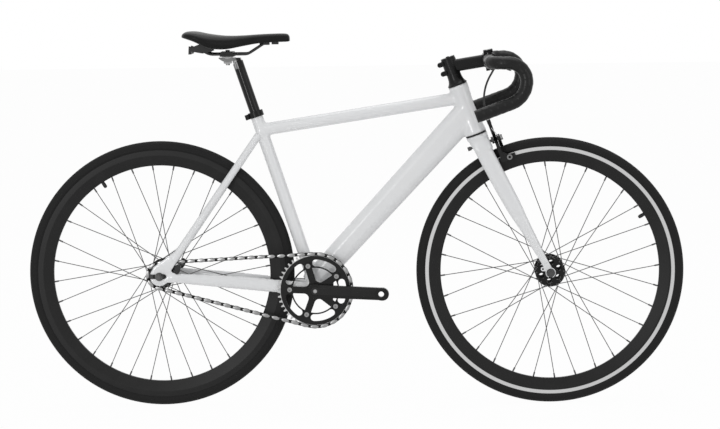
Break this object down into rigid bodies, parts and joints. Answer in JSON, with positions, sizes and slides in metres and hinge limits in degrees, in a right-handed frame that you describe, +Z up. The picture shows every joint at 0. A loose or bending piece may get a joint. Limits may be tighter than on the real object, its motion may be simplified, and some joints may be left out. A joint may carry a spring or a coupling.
{
  "type": "fixed gear bicycle",
  "caption": "Fixed gear road bicycle with drop bars, deep rims, a front rim brake and a fixed cog driven by chain, shown without pedals.",
  "frame": {"origin": "on the ground under the middle of the wheelbase, in the bicycle's centre plane", "axes": "+X to the front, +Y to the rider's left, +Z up; the chain is on the -Y side"},
  "size_m": [1.666, 0.436, 0.9549],
  "materials": {
    "frame_paint": "gloss white paint on welded alloy tube",
    "black_alloy": "black anodised",
    "crank_alloy": "black, satin",
    "rear_rim": "gloss black",
    "front_rim": "gloss black with a machined brake track",
    "tyre": "matt black",
    "inner_tube": "matt",
    "spoke_steel": "bright drawn wire",
    "steel": "zinc plated",
    "chain_steel": "nickel plated",
    "polished_alloy": "polished",
    "rail_steel": "dark plated",
    "saddle_cover": "black, fine grain",
    "black_plastic": "moulded",
    "bar_tape": "black wrapped tape",
    "cable_housing": "black",
    "brake_rubber": "black"
  },
  "bodies": {
    "frame": {"head_tube": "frame_paint", "top_tube": "frame_paint", "down_tube": "frame_paint", "seat_tube": "frame_paint", "bottom_bracket_shell": "frame_paint", "chainstays": "frame_paint", "seatstays": "frame_paint", "rear_dropouts": "frame_paint", "dropout_plugs": "black_plastic", "headset_bearings": "steel", "seat_clamp": "black_alloy", "bottom_bracket_cartridge": "black_alloy", "rear_axle_set": "steel", "chain": "chain_steel"},
    "crankset": {"chainring": "crank_alloy", "crank_arm_right": "crank_alloy", "crank_arm_left": "crank_alloy", "crank_fasteners": "steel", "bottom_bracket_spindle": "steel"},
    "rear_wheel": {"rear_tyre": "tyre", "rear_inner_tube": "inner_tube", "rear_rim": "rear_rim", "rear_spokes": "spoke_steel", "rear_hub_shell": "black_alloy", "rear_cog": "steel", "rear_lockring": "steel", "rear_hub_bearings": "steel"},
    "steering": {"fork_crown": "frame_paint", "fork_blades": "frame_paint", "fork_tips": "frame_paint", "headset_cover": "black_alloy", "stem_body": "black_alloy", "stem_faceplate": "black_alloy", "stem_bolts": "steel", "stem_cap": "black_alloy", "handlebar": "black_alloy", "bar_tape": "bar_tape", "bar_end_plugs": "black_plastic", "brake_lever_body": "black_alloy", "brake_housing": "cable_housing", "caliper_bolt": "steel", "front_axle_set": "steel"},
    "brake_lever": {"brake_lever_blade": "black_alloy"},
    "caliper_right": {"caliper_arm_right": "black_alloy", "brake_pad_right": "brake_rubber"},
    "caliper_left": {"caliper_arm_left": "black_alloy", "brake_pad_left": "brake_rubber", "brake_wire": "steel"},
    "front_wheel": {"front_tyre": "tyre", "front_inner_tube": "inner_tube", "front_rim": "front_rim", "front_spokes": "spoke_steel", "front_hub_shell": "black_alloy", "front_hub_bearings": "steel"},
    "seatpost": {"seatpost": "black_alloy"},
    "saddle_cradle": {"seat_cradle": "polished_alloy"},
    "saddle": {"saddle_cover": "saddle_cover", "saddle_base": "black_plastic", "saddle_rails": "rail_steel"}
  },
  "joints": [
    {"name": "steering_turn", "type": "hinge", "parent": "frame", "child": "steering", "pos_m": [0.30918, 0, 0.68889], "axis": [-0.342, 0, 0.9397], "range_deg": [-70, 70]},
    {"name": "front_wheel_spin", "type": "hinge", "parent": "steering", "child": "front_wheel", "pos_m": [0.494, 0, 0.339], "axis": [0, 1, 0], "continuous": true},
    {"name": "rear_wheel_spin", "type": "hinge", "parent": "frame", "child": "rear_wheel", "pos_m": [-0.494, 0, 0.339], "axis": [0, 1, 0], "continuous": true, "deforming": ["chain"]},
    {"name": "crank_spin", "type": "hinge", "parent": "frame", "child": "crankset", "pos_m": [-0.10075, 0, 0.298], "axis": [0, 1, 0], "continuous": true},
    {"name": "brake_lever_pull", "type": "hinge", "parent": "steering", "child": "brake_lever", "pos_m": [0.37111, -0.071, 0.86436], "axis": [-0.342, 0, -0.9397], "range_deg": [0, 11], "stiffness_Nm_per_rad": 1.5},
    {"name": "caliper_right_close", "type": "hinge", "parent": "steering", "child": "caliper_right", "pos_m": [0.35831, 0, 0.67378], "axis": [0.9397, 0, 0.342], "range_deg": [0, 2.3]},
    {"name": "caliper_left_close", "type": "hinge", "parent": "steering", "child": "caliper_left", "pos_m": [0.35831, 0, 0.67378], "axis": [-0.9397, 0, -0.342], "range_deg": [0, 2.3], "deforming": ["brake_wire"]},
    {"name": "seatpost_height", "type": "slide", "parent": "frame", "child": "seatpost", "axis": [-0.3123, 0, 0.95], "range_m": [-0.1, 0.06]},
    {"name": "saddle_tilt", "type": "hinge", "parent": "seatpost", "child": "saddle_cradle", "pos_m": [-0.31599, 0, 0.90699], "axis": [0, 1, 0], "range_deg": [-6, 6]},
    {"name": "saddle_slide", "type": "slide", "parent": "saddle_cradle", "child": "saddle", "axis": [1, 0, 0], "range_m": [-0.015, 0.015]}
  ],
  "couplings": [
    {"joint": "crank_spin", "follows": "rear_wheel_spin", "ratio": 0.34783},
    {"joint": "caliper_right_close", "follows": "brake_lever_pull", "ratio": 0.2},
    {"joint": "caliper_left_close", "follows": "brake_lever_pull", "ratio": 0.2}
  ]
}
